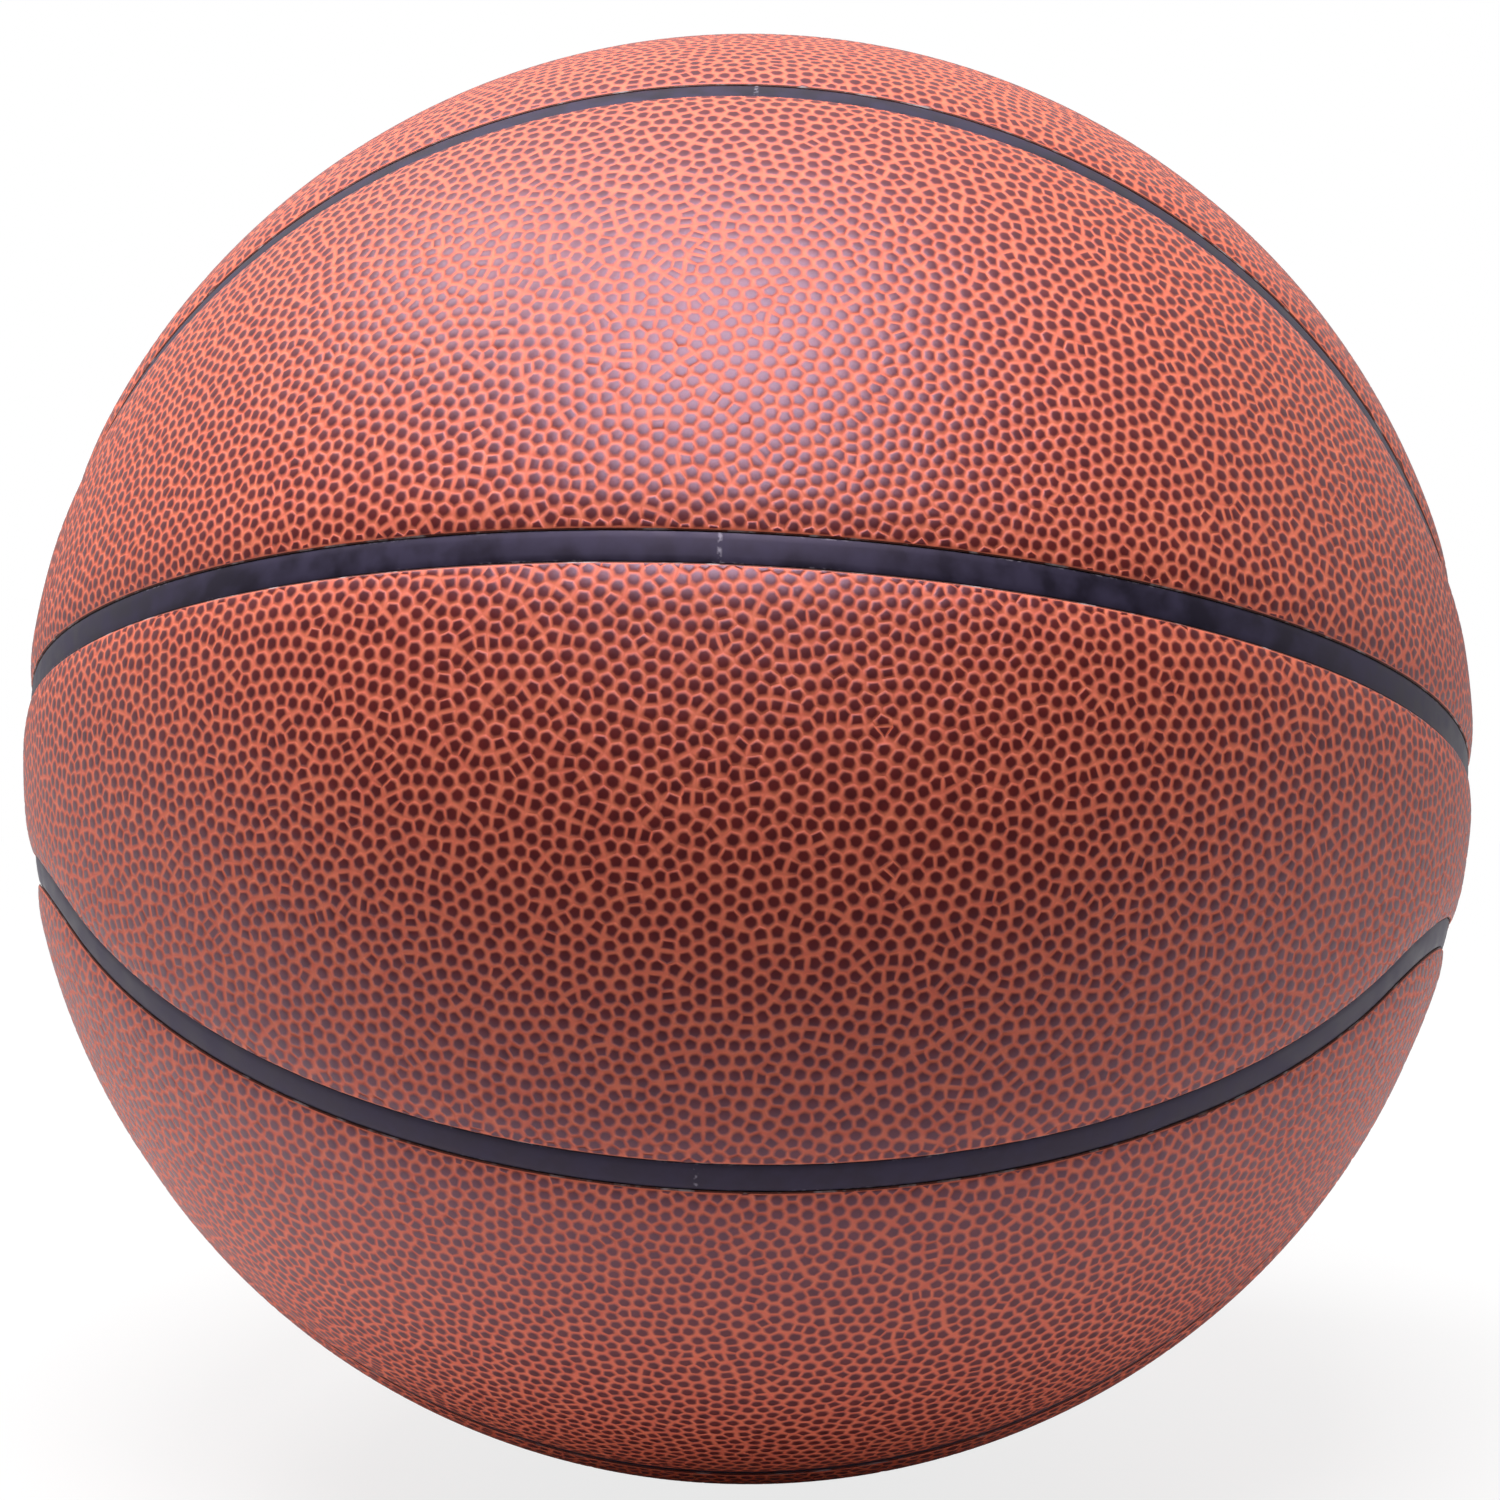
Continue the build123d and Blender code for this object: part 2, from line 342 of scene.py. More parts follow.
def even_out(net):
    """Moves the cells' corners so that large cells shrink, small ones grow and all grow rounder."""
    places = vertex_places(net)
    starts, counts, corners = face_corners(net)
    following = np.arange(1, len(corners) + 1)
    following[starts + counts - 1] = starts
    here, ahead = places[corners], places[corners[following]]
    middles = np.add.reduceat(here, starts) / counts[:, None]
    areas = np.linalg.norm(np.add.reduceat(np.cross(here, ahead), starts), axis=1)
    excess = np.repeat(areas / areas.mean() - 1, counts)
    pulls = EVENING_PULL * excess[:, None] * (np.repeat(middles, counts, axis=0) - here)
    sharing = np.bincount(corners)[corners][:, None]
    moved = places.copy()
    np.add.at(moved, corners, pulls + SOFTENING_PULL * (ahead - here) / sharing)
    set_vertex_places(net, at_radius(moved, BALL_RADIUS))
    return areas.std() / areas.mean()


for turn in range(EVENING_ROUNDS):
    unevenness = even_out(pebble_net)
print("spread of the pebbles' sizes:", round(unevenness, 3))

# %% [markdown]
# ## Cutting the panels
# The panels' edges are plane cuts through the net, because a circle on a ball lies in a plane. Each
# seam is cut on both sides of its channel, and once more just inside each edge, where the raw edge
# of the cover shows as a fine pale line. Only faces near a cut are selected, and for the ovals only
# the stretch that the circle serves. Bisect's own tolerance is a tenth of a millimetre here, which
# would leave the small hole for the valve ragged, so a finer one is given.

# %% Cut along planes
NEAR = 2 * PEBBLE_PITCH
CUT_TOLERANCE = 0.002 * MM


def cut_cells(normal, distance, zone=None):
    """Cuts a net's cells by a plane at a distance from the ball's centre, within a zone of the ball."""

    def near_plane(points):
        close = np.abs(points @ np.array(normal) - distance) < NEAR
        return close if zone is None else close & zone(points)

    select_faces(near_plane)
    bpy.ops.mesh.bisect(plane_co=normal * distance, plane_no=normal, threshold=CUT_TOLERANCE)


def on_sides(points):
    return np.abs(at_radius(points, 1.0) @ ball_axes[:, 0]) < cos(OVAL_TOUCH)


def on_ends(points):
    return ~on_sides(points)


def cut_seams(radius, margin):
    """In edit mode, cuts a net of this radius a margin inside every edge, at the seams and the valve."""
    inset, rim = HALF_GAP + margin, VALVE_HOLE + margin
    end_out = sqrt(radius**2 - inset**2) * cos(OVAL_END)
    for side in (-1, 1):
        cut_cells(ball_direction(0, 0, 1), side * inset)
        cut_cells(ball_direction(0, 1, 0), side * inset)
        for lean in (-1, 1):
            side_axis = ball_direction(0, lean * sin(OVAL_REACH), cos(OVAL_REACH))
            cut_cells(side_axis, side * inset, on_sides)
            for right in (-1, 1):
                end_axis = ball_direction(right * cos(OVAL_RISE), 0, lean * sin(OVAL_RISE))
                cut_cells(end_axis, end_out + side * inset * sin(OVAL_END), on_ends)
    cut_cells(valve_out, sqrt(radius**2 - rim**2))


# %% Take the channels out of the net
RAW_EDGE = 0.22 * MM


def past_edge(points):
    """How far each point lies inside its panel's edge, at the channels and at the valve's hole."""
    off_valve = np.arccos(np.minimum(at_radius(points, 1.0) @ np.array(valve_out), 1))
    off_valve *= np.linalg.norm(points, axis=1)
    return np.minimum(seam_distance(points) - HALF_GAP, off_valve - VALVE_HOLE)


def left_open(points):
    return past_edge(points) < 0


start_editing(pebble_net)
cut_seams(BALL_RADIUS, 0)
cut_seams(BALL_RADIUS, RAW_EDGE)
print("faces cut away:", select_faces(left_open))
bpy.ops.mesh.delete(type="FACE")
stop_editing()
print("faces left:", len(pebble_net.data.polygons))

# %% [markdown]
# ## One sheet per panel
# The net now falls into eight islands. Each becomes a piece of its own, named for its place on the
# ball: upper or lower, front or back, in the band beside the centre seam or in the crown of an oval.

# %% Separate the panels
PANEL_PLACES = [
    f"{height}_{side}_{zone}"
    for height in ("lower", "upper")
    for side in ("back", "front")
    for zone in ("band", "crown")
]


def panel_number(points):
    """The place of each point in the list of panels."""
    x, y, z = (points @ ball_axes).T
    return 4 * (z > 0) + 2 * (y < 0) + inside_oval(points)


def separate_panels(net, layer):
    """Makes each island of a cut net a piece of its own, named for its place and its layer."""
    pieces = {}
    for number, place in enumerate(PANEL_PLACES):
        start_editing(net)
        select_faces(lambda points: panel_number(points) == number)
        before = set(bpy.data.objects)
        bpy.ops.mesh.separate(type="SELECTED")
        stop_editing()
        pieces[place] = (set(bpy.data.objects) - before).pop()
        pieces[place].name = f"{place}_{layer}"
    print(layer, "pieces:", len(pieces), "faces left in the net:", len(net.data.polygons))
    bpy.data.objects.remove(net)
    return pieces


covers = separate_panels(pebble_net, "cover")

# %% [markdown]
# ## From sheet to panel
# A glued panel is pulled down at its edges, so the last few millimetres roll towards the channel.
# The sheet is rolled first, then Solidify gives it the skin's thickness, and its inner face is laid
# on the cushion's radius.

# %% Roll and thicken
EDGE_ROLL = 6.5 * MM
EDGE_DROP = 0.7 * MM
RAW_DROP = 0.12 * MM


def sheet_radius(points):
    """How far from the ball's centre the sheet lies under each point, before it is embossed."""
    roll = EDGE_DROP * np.clip(1 - (seam_distance(points) - HALF_GAP) / EDGE_ROLL, 0, 1) ** 2
    raw = RAW_DROP * np.clip(1 - past_edge(points) / RAW_EDGE, 0, 1)
    return BALL_RADIUS - roll - raw


def thicken(sheet, thickness, inner_radius):
    """Gives a sheet its thickness and lays its inner face on a sphere."""
    outer_count = len(sheet.data.vertices)
    wall = sheet.modifiers.new("wall", "SOLIDIFY")
    wall.thickness = thickness
    wall.offset = -1.0
    apply_modifier(sheet, wall)
    places = vertex_places(sheet)
    places[outer_count:] = at_radius(places[outer_count:], inner_radius)
    set_vertex_places(sheet, places)
    start_editing(sheet)
    bpy.ops.mesh.select_all(action="SELECT")
    bpy.ops.mesh.normals_make_consistent(inside=False)
    stop_editing()


for cover in covers.values():
    sheet = vertex_places(cover)
    set_vertex_places(cover, at_radius(sheet, sheet_radius(sheet)))
    thicken(cover, SKIN, BALL_RADIUS - SKIN)
print("panels thickened:", len(covers))

# %% [markdown]
# ## Embossing the pebbles
# Each outer cell is inset twice, once for the pebble's flank and once for its rounded shoulder. An
# inset of an even width would cross over itself in the narrow corners, so it is only a hair wide,
# and each new face is then drawn in towards its own middle, rounded off a little and lifted. The
# pebbles' tops are inked darker than the valleys, so each corner also keeps its share of ink, which
# the material reads. The ink is rounder than the cells, so each cell first notes its middle and its
# reach, and the faces of its pebble inherit both. Slivers that a seam has cut off stay flat.

# %% Choose the cells
SMALLEST = 0.2 * MM


def select_cells():
    """In edit mode, selects the outer cells that are large enough to emboss."""
    bpy.ops.mesh.select_all(action="DESELECT")
    cells = bmesh.from_edit_mesh(bpy.context.object.data)
    faces = cells.faces[:]
    middles = np.array([face.calc_center_median() for face in faces])
    widths = np.array([2 * face.calc_area() / face.calc_perimeter() for face in faces])
    outer = np.linalg.norm(middles, axis=1) > BALL_RADIUS - (EDGE_DROP + SKIN) / 2
    clear = past_edge(middles) > RAW_EDGE
    mark_faces(faces, outer & clear & (widths > SMALLEST))


def note_middles(cover):
    """Notes on each face the middle of its corners and their mean distance from it."""
    starts, counts, corners = face_corners(cover)
    here = vertex_places(cover)[corners]
    middles = np.add.reduceat(here, starts) / counts[:, None]
    outward = np.linalg.norm(here - np.repeat(middles, counts, axis=0), axis=1)
    reaches = np.add.reduceat(outward, starts) / counts
    notes = (("middle", "FLOAT_VECTOR", "vector", middles), ("reach", "FLOAT", "value", reaches))
    for name, kind, field, values in notes:
        noted = cover.data.attributes.new(name, kind, "FACE")
        noted.data.foreach_set(field, values.ravel().astype(np.float32))


# %% Emboss
HAIR = 0.02 * MM
FLANK_SHARE, FLANK_RISE, FLANK_INK = 0.86, 0.08 * MM, 0.2
SHOULDER_SHARE, SHOULDER_RISE, TOP_INK = 0.58, 0.07 * MM, 1.0
ROUND_SHARE = 0.8
MOST_STRETCH = 1.1
FULL_SIZE = PEBBLE_PITCH / 2
PEBBLE_CREASE = radians(75)


def raise_tops(share, rise, ink):
    """Insets the selected faces, draws each new face in to its middle, rounds it off and lifts it."""
    bpy.ops.mesh.inset(thickness=HAIR, use_individual=True, use_even_offset=False)
    cells = bmesh.from_edit_mesh(bpy.context.object.data)
    inked = cells.verts.layers.float["ink"]
    for top in [face for face in cells.faces if face.select]:
        corners = top.verts[:]
        feet = []
        for corner in corners:
            leads = [edge for edge in corner.link_edges if edge not in top.edges]
            feet.append(leads[0].other_vert(corner).co.copy())
        middle = sum(feet, Vector()) / len(feet)
        reach = sum((foot - middle).length for foot in feet) / len(feet)
        lift = top.normal * rise * min(reach / FULL_SIZE, 1)
        for corner, foot in zip(corners, feet):
            out = foot - middle
            stretch = min(1 + ROUND_SHARE * (reach / out.length - 1), MOST_STRETCH)
            corner.co = middle + out * stretch * share + lift
            corner[inked] = ink
    bmesh.update_edit_mesh(bpy.context.object.data)


for place, cover in covers.items():
    note_middles(cover)
    cover.data.attributes.new("ink", "FLOAT", "POINT")
    start_editing(cover)
    select_cells()
    raise_tops(FLANK_SHARE, FLANK_RISE, FLANK_INK)
    raise_tops(SHOULDER_SHARE, SHOULDER_RISE, TOP_INK)
    stop_editing()
    bpy.ops.object.shade_smooth_by_angle(angle=PEBBLE_CREASE)
    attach(cover, "root")
    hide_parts(f"{place}_panel")
    print(place, "faces:", len(cover.data.polygons))

# %% [markdown]
# ## The sponge behind the panels
# Each panel lies on a sheet of sponge of its own shape. A plain ico sphere is cut along the same seams
# with the same function and falls into the same eight pieces. Their rims are drawn in a little, as
# sponge is where it was cut.

# %% Cut the sponge
SPHERE_LEVELS = 6
SPONGE_ROLL = 2.0 * MM
SPONGE_DROP = 0.3 * MM
LAYER_CREASE = radians(35)

bpy.ops.object.select_all(action="DESELECT")
bpy.ops.mesh.primitive_ico_sphere_add(subdivisions=SPHERE_LEVELS, radius=CUSHION_OUTER)
sponge_ball = bpy.context.object
start_editing(sponge_ball)
cut_seams(CUSHION_OUTER, 0)
select_faces(left_open)
bpy.ops.mesh.delete(type="FACE")
stop_editing()
pads = separate_panels(sponge_ball, "sponge")
for place, pad in pads.items():
    sheet = vertex_places(pad)
    from_edge = (seam_distance(sheet) - HALF_GAP) / SPONGE_ROLL
    drawn_in = SPONGE_DROP * np.clip(1 - from_edge, 0, 1) ** 2
    set_vertex_places(pad, at_radius(sheet, CUSHION_OUTER - drawn_in))
    thicken(pad, CUSHION, CUSHION_OUTER - CUSHION)
    bpy.ops.object.shade_smooth_by_angle(angle=LAYER_CREASE)
    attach(pad, "root")
    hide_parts(f"{place}_cushion")

# %% [markdown]
# ## The carcass and its ribs
# The black channels are ribs of the rubber carcass that stand up between the panels. A rib is a
# closed outline with a softly crowned top, spun about its seam's axis. The great seams are one full
# spin. An oval is four spins in a row, side, end, side, end, each starting where the last one
# stopped. Boolean unions then make shell and ribs one piece, as the mould does.

# %% Outlines to spin
RIB_FOOT = CARCASS_OUTER - CARCASS_WALL / 2
RIB_TOP = BALL_RADIUS - RIB_RECESS
RIB_CROWN_SHARES = (-1.0, -0.97, -0.86, -0.5, 0.0, 0.5, 0.86, 0.97, 1.0)
RIB_CROWN_DROPS = [drop * MM for drop in (0.24, 0.1, 0.02, -0.03, -0.05, -0.03, 0.02, 0.1, 0.24)]
STEP_ANGLE = radians(1.0)
MERGE_DISTANCE = 0.001 * MM


def rib_outline(out, across):
    """The corners of a rib's section, from foot to foot over its crowned top."""
    half = RIB_WIDTH / 2
    corners = [out * RIB_FOOT - across * half]
    for share, drop in zip(RIB_CROWN_SHARES, RIB_CROWN_DROPS):
        top = sqrt(RIB_TOP**2 - (share * half) ** 2) - drop
        corners.append(out * top + across * share * half)
    corners.append(out * RIB_FOOT + across * half)
    return corners


def spin_outline(name, corners, turns):
    """Spins a closed outline through a row of turns, each an axis through the centre and an angle.

    The operator turns clockwise about its axis, so the angle is given to it negative.
    """
    bpy.ops.object.select_all(action="DESELECT")
    bpy.ops.mesh.primitive_circle_add(vertices=len(corners), fill_type="NOTHING")
    piece = bpy.context.object
    piece.name = name
    set_vertex_places(piece, np.array(corners))
    start_editing(piece)
    bpy.context.tool_settings.mesh_select_mode = SELECT_CORNERS
    bpy.ops.mesh.select_all(action="SELECT")
    for axis, angle in turns:
        steps = round(angle / STEP_ANGLE)
        bpy.ops.mesh.spin(steps=steps, angle=-angle, center=(0, 0, 0), axis=axis)
    bpy.ops.mesh.select_all(action="SELECT")
    bpy.ops.mesh.remove_doubles(threshold=MERGE_DISTANCE)
    bpy.ops.mesh.normals_make_consistent(inside=False)
    stop_editing()
    return piece


# %% Spin the ribs
def spin_oval(name, flip):
    """One oval rib; flip is 1 for the upper oval and -1 for the lower, the upper one turned over."""

    def direction(x, y, z):
        return ball_direction(x, flip * y, flip * z)

    touch_up = sin(OVAL_TOUCH) * sin(OVAL_REACH)
    touch_down = cos(OVAL_TOUCH) * sin(OVAL_RISE) - touch_up * cos(OVAL_RISE)
    end_sweep = 2 * atan2(sin(OVAL_TOUCH) * cos(OVAL_REACH), touch_down)
    side_sweep = pi - 2 * OVAL_TOUCH
    turns = []
    for side in (1, -1):
        turns.append((direction(0, side * sin(OVAL_REACH), cos(OVAL_REACH)), side_sweep))
        turns.append((direction(side * cos(OVAL_RISE), 0, sin(OVAL_RISE)), end_sweep))
    start = direction(-cos(OVAL_TOUCH), -sin(OVAL_TOUCH) * cos(OVAL_REACH), touch_up)
    return spin_outline(name, rib_outline(start, turns[0][0]), turns)


def spin_great_seam(name, start, axis):
    return spin_outline(name, rib_outline(start, axis), [(axis, 2 * pi)])


ribs = [
    spin_great_seam("centre_rib", ball_direction(1, 1, 0), ball_direction(0, 0, 1)),
    spin_great_seam("cross_rib", ball_direction(1, 0, 1), ball_direction(0, 1, 0)),
    spin_oval("upper_oval_rib", 1),
    spin_oval("lower_oval_rib", -1),
]
for rib in ribs:
    print(rib.name, "faces:", len(rib.data.polygons))

# %% Join shell and ribs
bpy.ops.object.select_all(action="DESELECT")
bpy.ops.mesh.primitive_ico_sphere_add(subdivisions=SPHERE_LEVELS, radius=CARCASS_OUTER)
carcass = bpy.context.object
carcass.name = "carcass_with_ribs"
wall = carcass.modifiers.new("wall", "SOLIDIFY")
wall.thickness = CARCASS_WALL
wall.offset = -1.0
apply_modifier(carcass, wall)
for rib in ribs:
    union = carcass.modifiers.new("union", "BOOLEAN")
    union.operation = "UNION"
    union.object = rib
    apply_modifier(carcass, union)
    bpy.data.objects.remove(rib)
print("carcass with ribs, faces:", len(carcass.data.polygons))

# %% Drill the hole for the valve
DRILL_SIDES = 96
DRILL_DEPTH = 6 * CARCASS_WALL

bpy.ops.object.select_all(action="DESELECT")
bpy.ops.mesh.primitive_cylinder_add(
    vertices=DRILL_SIDES, radius=VALVE_HOLE, depth=DRILL_DEPTH,
    location=valve_out * CARCASS_OUTER, rotation=valve_out.to_track_quat("Z", "Y").to_euler(),
)
drill = bpy.context.object
hole = carcass.modifiers.new("hole", "BOOLEAN")
hole.operation = "DIFFERENCE"
hole.object = drill
apply_modifier(carcass, hole)
bpy.data.objects.remove(drill)
bpy.ops.object.shade_smooth_by_angle(angle=LAYER_CREASE)
on_rib = np.minimum(seam_distance(vertex_places(carcass)) / (RIB_WIDTH / 2), 1)
rims = carcass.data.attributes.new("rim", "FLOAT", "POINT")
rims.data.foreach_set("value", on_rib.astype(np.float32))
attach(carcass, "root")
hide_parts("carcass")
rib_reach = np.linalg.norm(vertex_places(carcass), axis=1).max()
print("carcass faces:", len(carcass.data.polygons), "highest", round(rib_reach / MM, 2), "mm")

# %% [markdown]
# ## The valve
# The valve sits in a panel at the back: a rubber stem through all the layers, with a flange bonded
# inside the bladder and a soft core that takes the inflating needle. Both are turned shapes, so each
# outline is spun once round the valve's axis. Rounded lips catch the light where the rubber was
# moulded.

# %% Sizes of the valve
WINDING, BLADDER_WALL = 0.5 * MM, 0.8 * MM
BLADDER_INNER = CARCASS_OUTER - CARCASS_WALL - WINDING - BLADDER_WALL - 2 * GLUE_LINE
FLANGE_TOP = BLADDER_INNER - GLUE_LINE
FLANGE_FOOT = FLANGE_TOP - 1.4 * MM
BOSS_FOOT = FLANGE_FOOT - 9.0 * MM
STEM_TOP = BALL_RADIUS - 0.4 * MM
STEM_RADIUS, BOSS_RADIUS, RIM_RADIUS, BORE_RADIUS = 5.0 * MM, 6.0 * MM, 12.0 * MM, 2.55 * MM
CORE_RADIUS, LIP_RADIUS, NEEDLE_RADIUS, MOUTH_RADIUS = 2.5 * MM, 3.75 * MM, 1.0 * MM, 1.6 * MM
CORE_TOP = STEM_TOP - 0.6 * MM
MOUTH_FOOT = CORE_TOP - 0.8 * MM
CHANNEL_FOOT = MOUTH_FOOT - 12.0 * MM
LIP_TOP = BOSS_FOOT - 0.05 * MM
LIP_FOOT = LIP_TOP - 2.0 * MM
SOFT_EDGE = 0.3 * MM
VALVE_CREASE = radians(50)
print("valve length", round((STEM_TOP - LIP_FOOT) / MM, 2), "mm")


# %% Spin the valve
def on_sphere(radius, out):
    """A corner of a turned outline that lies on a sphere about the ball's centre."""
    return (out, sqrt(radius**2 - out**2))


def spin_valve(name, outline):
    """Spins an outline of (distance from the axis, distance along it) round the valve's axis."""
    across = ball_direction(1, 0, 0)
    corners = [valve_out * along + across * out for out, along in outline]
    return spin_outline(name, corners, [(valve_out, 2 * pi)])


valve_stem = spin_valve("valve_stem", [
    (BORE_RADIUS, BOSS_FOOT),
    (BORE_RADIUS, STEM_TOP - SOFT_EDGE),
    (BORE_RADIUS + SOFT_EDGE / 3, STEM_TOP - SOFT_EDGE / 3),
    (BORE_RADIUS + SOFT_EDGE, STEM_TOP),
    (STEM_RADIUS - SOFT_EDGE, STEM_TOP),
    (STEM_RADIUS - SOFT_EDGE / 3, STEM_TOP - SOFT_EDGE / 3),
    (STEM_RADIUS, STEM_TOP - SOFT_EDGE),
    on_sphere(FLANGE_TOP, STEM_RADIUS),
    on_sphere(FLANGE_TOP, (STEM_RADIUS + RIM_RADIUS) / 2),
    on_sphere(FLANGE_TOP, RIM_RADIUS),
    on_sphere(FLANGE_FOOT, RIM_RADIUS),
    on_sphere(FLANGE_FOOT, (BOSS_RADIUS + RIM_RADIUS) / 2),
    on_sphere(FLANGE_FOOT, BOSS_RADIUS),
    (BOSS_RADIUS, BOSS_FOOT),
])
valve_plug = spin_valve("valve_plug", [
    (0, CHANNEL_FOOT),
    (NEEDLE_RADIUS, CHANNEL_FOOT),
    (NEEDLE_RADIUS, MOUTH_FOOT),
    (MOUTH_RADIUS - SOFT_EDGE / 2, CORE_TOP - SOFT_EDGE),
    (MOUTH_RADIUS, CORE_TOP),
    (CORE_RADIUS - SOFT_EDGE, CORE_TOP),
    (CORE_RADIUS, CORE_TOP - SOFT_EDGE),
    (CORE_RADIUS, LIP_TOP),
    (LIP_RADIUS, LIP_TOP),
    (LIP_RADIUS, LIP_FOOT + SOFT_EDGE),
    (LIP_RADIUS - SOFT_EDGE, LIP_FOOT),
    (0, LIP_FOOT),
])
for piece, node in ((valve_stem, "valve_body"), (valve_plug, "valve_core")):
    pick(piece)
    bpy.ops.object.shade_smooth_by_angle(angle=VALVE_CREASE)
    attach(piece, "root")
    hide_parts(node)
    print(piece.name, "faces:", len(piece.data.polygons))

# %% [markdown]
# ## Writing materials
# Colours are given as hex values as a screen shows them, and Blender's shaders count in linear
# light, so one function converts them. Another adds a node, sets its values and links its inputs,
# which keeps each material short enough to read as a recipe. Patterns are sized in millimetres.


# %% Helpers for materials
def linear(code):
    """A hex colour, as a screen shows it, in linear light."""
    parts = [int(code[place:place + 2], 16) / 255 for place in (1, 3, 5)]
    return [
        part / 12.92 if part <= 0.04045 else ((part + 0.055) / 1.055) ** 2.4 for part in parts
    ] + [1.0]


def add(tree, kind, inputs=None, **settings):
    """Adds a node with its settings; an input is given as a value, or as the socket that feeds it."""
    node = tree.nodes.new(kind)
    for name, value in settings.items():
        setattr(node, name, value)
    for name, value in (inputs or {}).items():
        if isinstance(value, bpy.types.NodeSocket):
            tree.links.new(value, node.inputs[name])
        else:
            node.inputs[name].default_value = value
    return node


def new_material(name):
    """A material with a surface, its node tree and the coordinates fixed to the piece."""
    material = bpy.data.materials.new(name)
    material.use_nodes = True
    tree = material.node_tree
    place = add(tree, "ShaderNodeTexCoord").outputs["Object"]
    return material, tree, tree.nodes["Principled BSDF"], place


def per_mm(size):
    """The scale of a pattern whose features are this many millimetres across."""
    return 1 / (size * MM)


def give(pieces, material):
    """Makes a material the only one of each piece."""
    for piece in pieces:
        piece.data.materials.clear()
        piece.data.materials.append(material)


# %% [markdown]
# ## The cover's composite leather
# The cover is a fibre sheet with a soft polyurethane skin, embossed and then inked: the roller leaves
# dark brown on the pebbles' tops, and the valleys keep the orange of the skin. The skin is satin, so
# the tops mirror the softbox as a broad greyish sheen. The ink's edge wavers a little, and its
# darkness differs from pebble to pebble. The ink is the lesser of two: what the corners of the mesh
# carry, and a round spot about the middle of each pebble. The pores are drawn coarser than real ones,
# so that they show.

# %% Where the ink lies
INK_WANDER = 0.9
CORNER_WAVER, SPOT_WAVER = 0.24, 0.2
CORNER_BARE, CORNER_INKED = 0.11, 1.11
SPOT_INKED, SPOT_BARE = 0.53, 0.99

leather, tree, surface, place = new_material("embossed_composite_leather")
inked = add(tree, "ShaderNodeAttribute", attribute_name="ink").outputs["Fac"]
wander = add(
    tree, "ShaderNodeTexNoise", {"Vector": place, "Scale": per_mm(INK_WANDER), "Detail": 2.0}
).outputs["Fac"]
shifted = add(
    tree, "ShaderNodeMath", {0: wander, 1: CORNER_WAVER, 2: inked}, operation="MULTIPLY_ADD"
).outputs[0]
rolled_on = add(
    tree, "ShaderNodeMapRange", {"Value": shifted, "From Min": CORNER_BARE, "From Max": CORNER_INKED},
    interpolation_type="SMOOTHSTEP",
).outputs["Result"]
middle = add(tree, "ShaderNodeAttribute", attribute_name="middle").outputs["Vector"]
reach = add(tree, "ShaderNodeAttribute", attribute_name="reach").outputs["Fac"]
outward = add(
    tree, "ShaderNodeVectorMath", {0: place, 1: middle}, operation="DISTANCE"
).outputs["Value"]
share = add(tree, "ShaderNodeMath", {0: outward, 1: reach}, operation="DIVIDE").outputs[0]
wavering = add(
    tree, "ShaderNodeMath", {0: wander, 1: SPOT_WAVER, 2: share}, operation="MULTIPLY_ADD"
).outputs[0]
rounded = add(
    tree, "ShaderNodeMapRange",
    {"Value": wavering, "From Min": SPOT_INKED, "From Max": SPOT_BARE, "To Min": 1.0, "To Max": 0.0},
    interpolation_type="SMOOTHSTEP",
).outputs["Result"]
ink = add(tree, "ShaderNodeMath", {0: rolled_on, 1: rounded}, operation="MINIMUM").outputs[0]
print("nodes for the ink:", len(tree.nodes))

# %% Composite leather
PATCH_SIZE = 2.6
PORE_SIZE, PORE_DEPTH = 0.2, 0.03 * MM
TOP_COLOURS = linear("#52120A"), linear("#661A10")
VALLEY_COLOURS = linear("#E06B4B"), linear("#E97853")
VALLEY_ROUGHNESS, TOP_ROUGHNESS = 0.68, 0.42

patches = add(
    tree, "ShaderNodeTexNoise", {"Vector": place, "Scale": per_mm(PATCH_SIZE), "Detail": 1.0}
).outputs["Fac"]
spread = add(
    tree, "ShaderNodeMapRange", {"Value": patches, "From Min": 0.3, "From Max": 0.7}
).outputs["Result"]
top, valley = (
    add(tree, "ShaderNodeMix", {"Factor": spread, 6: darker, 7: lighter}, data_type="RGBA").outputs[2]
    for darker, lighter in (TOP_COLOURS, VALLEY_COLOURS)
)
colour = add(
    tree, "ShaderNodeMix", {"Factor": ink, 6: valley, 7: top}, data_type="RGBA"
).outputs[2]
gloss = add(
    tree, "ShaderNodeMapRange", {"Value": ink, "To Min": VALLEY_ROUGHNESS, "To Max": TOP_ROUGHNESS}
).outputs["Result"]
pores = add(
    tree, "ShaderNodeTexNoise", {"Vector": place, "Scale": per_mm(PORE_SIZE), "Detail": 3.0}
).outputs["Fac"]
grain = add(
    tree, "ShaderNodeBump", {"Height": pores, "Strength": 0.25, "Distance": PORE_DEPTH}
).outputs["Normal"]
for socket, value in (("Base Color", colour), ("Roughness", gloss), ("Normal", grain)):
    tree.links.new(value, surface.inputs[socket])
surface.inputs["IOR"].default_value = 1.6
surface.inputs["Specular IOR Level"].default_value = 0.65
surface.inputs["Specular Tint"].default_value = linear("#F7DCFF")
print(leather.name, "nodes:", len(tree.nodes))

# %% [markdown]
# ## The raw edge
# Where a panel was cut, the pale fibre backing shows as a broken line along the channel. It is the
# narrow strip of faces at the edge, with the backing's grey breaking through the orange here and
# there.

# %% Cut edge
BREAK_SIZE = 3.5
SKIN_AT_EDGE, BACKING = linear("#5A2A22"), linear("#9C8F92")
RAW_EDGE_SLOT = 1

